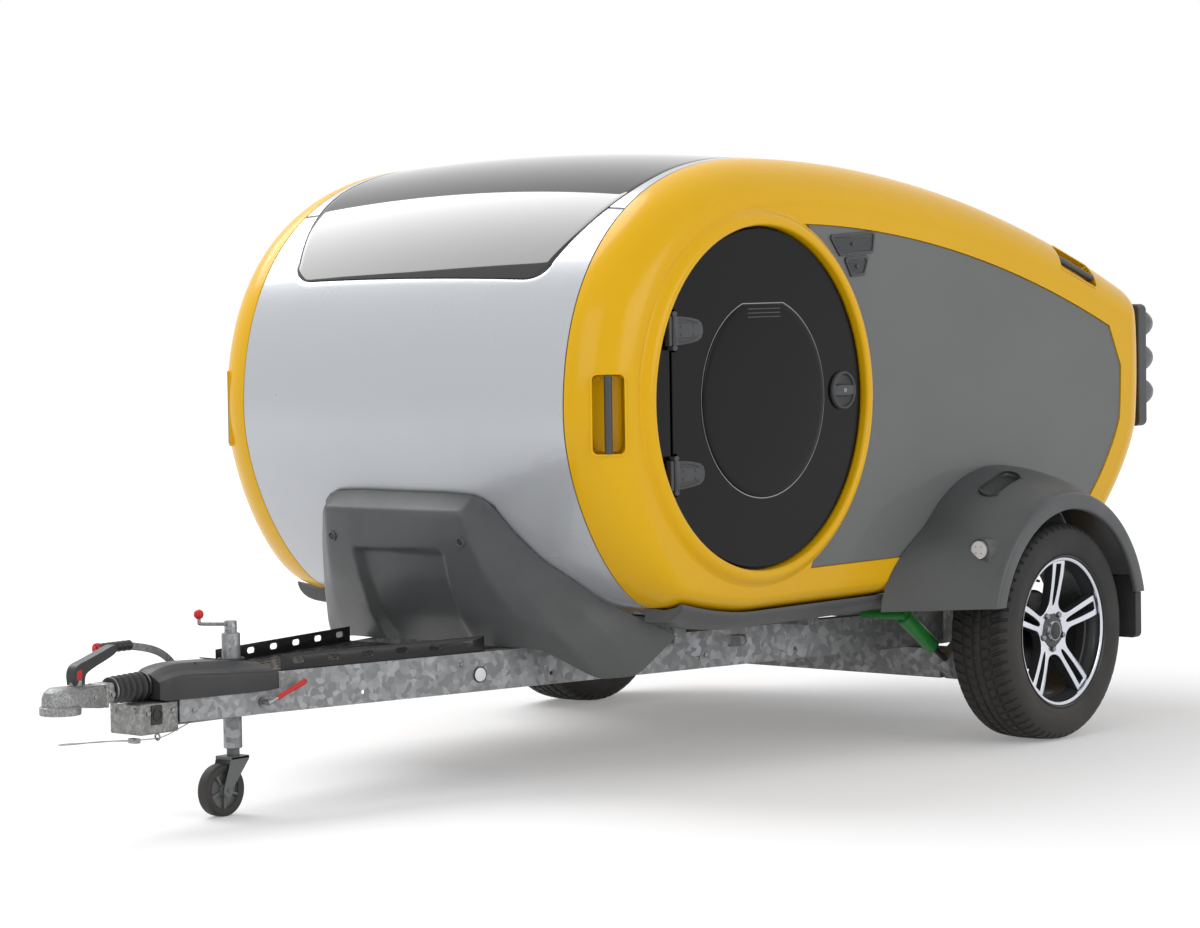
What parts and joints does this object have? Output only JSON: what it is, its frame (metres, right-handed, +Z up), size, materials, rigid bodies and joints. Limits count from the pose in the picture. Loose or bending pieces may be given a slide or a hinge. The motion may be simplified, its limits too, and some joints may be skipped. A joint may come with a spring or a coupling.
{
  "type": "teardrop trailer",
  "caption": "Two-wheeled teardrop camping trailer: rounded cabin with side doors and rear hatch on an A-frame chassis with a ball coupling and jockey wheel.",
  "frame": {"origin": "centre of the footprint on the ground", "axes": "+X forward to the tow coupling, +Y to the left side, +Z up"},
  "size_m": [4.0673, 2.008, 1.7119],
  "materials": {
    "yellow_paint": "gloss",
    "silver_paint": "satin",
    "grey_panel": "satin",
    "dark_plastic": "textured",
    "black_gloss": "gloss",
    "dark_glass": "gloss",
    "galvanised": "spangled zinc",
    "zinc_plate": "bright zinc",
    "cast_grey": "painted",
    "dark_handle": "satin",
    "black_steel": "powder coat",
    "tray_black": "powder coat",
    "green_damper": "gloss",
    "alloy": "machined",
    "tyre_rubber": "matt",
    "soft_rubber": "matt",
    "cover_plastic": "textured",
    "lamp_lens": "gloss",
    "marker_lens": "gloss",
    "plywood": "satin",
    "floor_board": "textured",
    "bar_black": "satin"
  },
  "bodies": {
    "trailer": {"side_shell_left": "yellow_paint", "side_shell_right": "yellow_paint", "side_panels": "grey_panel", "front_panel": "silver_paint", "skylight": "dark_glass", "roof_panel": "silver_paint", "rear_frame": "dark_plastic", "floor_pan": "floor_board", "bulkhead": "plywood", "front_guard": "dark_plastic", "sills": "dark_plastic", "fender_left": "dark_plastic", "fender_right": "dark_plastic", "mudflaps": "soft_rubber", "marker_lamps": "marker_lens", "grab_bars": "bar_black", "lamp_boards": "cover_plastic", "rear_lamps": "lamp_lens", "hinge_plates": "black_gloss", "hatch_hinges": "black_steel", "chassis_rail_left": "galvanised", "chassis_rail_right": "galvanised", "cross_members": "galvanised", "axle_beam": "galvanised", "swing_arms": "black_steel", "dampers": "green_damper", "drawbar_box": "zinc_plate", "drawtube_gaiter": "soft_rubber", "coupling_head": "cast_grey", "coupling_handle": "dark_handle", "handbrake_lever": "zinc_plate", "drawbar_cover": "cover_plastic", "tray_floor": "tray_black", "tray_sides": "tray_black", "jockey_clamp": "zinc_plate", "brake_rod": "zinc_plate", "breakaway_cable": "zinc_plate", "breakaway_clip": "zinc_plate"},
    "wheel_left": {"tyre_left": "tyre_rubber", "rim_left": "alloy"},
    "wheel_right": {"tyre_right": "tyre_rubber", "rim_right": "alloy"},
    "door_left": {"door_left": "black_gloss", "door_window_left": "dark_glass", "door_fittings_left": "black_steel"},
    "door_right": {"door_right": "black_gloss", "door_window_right": "dark_glass", "door_fittings_right": "black_steel"},
    "rear_hatch": {"rear_hatch": "silver_paint"},
    "jockey_tube": {"jockey_tube": "zinc_plate"},
    "jockey_fork": {"jockey_fork": "zinc_plate"},
    "jockey_wheel": {"jockey_wheel": "soft_rubber"}
  },
  "joints": [
    {"name": "wheel_left_spin", "type": "hinge", "parent": "trailer", "child": "wheel_left", "pos_m": [-1.013, 0.8775, 0.317], "axis": [0, 1, 0], "continuous": true},
    {"name": "wheel_right_spin", "type": "hinge", "parent": "trailer", "child": "wheel_right", "pos_m": [-1.013, -0.8775, 0.317], "axis": [0, 1, 0], "continuous": true},
    {"name": "door_left_hinge", "type": "hinge", "parent": "trailer", "child": "door_left", "pos_m": [0.492, 0.749, 1.034], "axis": [0, 0, -1], "range_deg": [0, 105]},
    {"name": "door_right_hinge", "type": "hinge", "parent": "trailer", "child": "door_right", "pos_m": [0.492, -0.749, 1.034], "axis": [0, 0, 1], "range_deg": [0, 105]},
    {"name": "rear_hatch_hinge", "type": "hinge", "parent": "trailer", "child": "rear_hatch", "pos_m": [-1.47332, 0, 1.48742], "axis": [0, 1, 0], "range_deg": [0, 75]},
    {"name": "jockey_slide", "type": "slide", "parent": "trailer", "child": "jockey_tube", "axis": [0, 0, 1], "range_m": [-0.06, 0.09]},
    {"name": "jockey_swivel", "type": "hinge", "parent": "jockey_tube", "child": "jockey_fork", "pos_m": [1.397, 0, 0.16], "axis": [0, 0, 1], "continuous": true},
    {"name": "jockey_wheel_spin", "type": "hinge", "parent": "jockey_fork", "child": "jockey_wheel", "pos_m": [1.443, 0, 0.068], "axis": [0, 1, 0], "continuous": true}
  ]
}
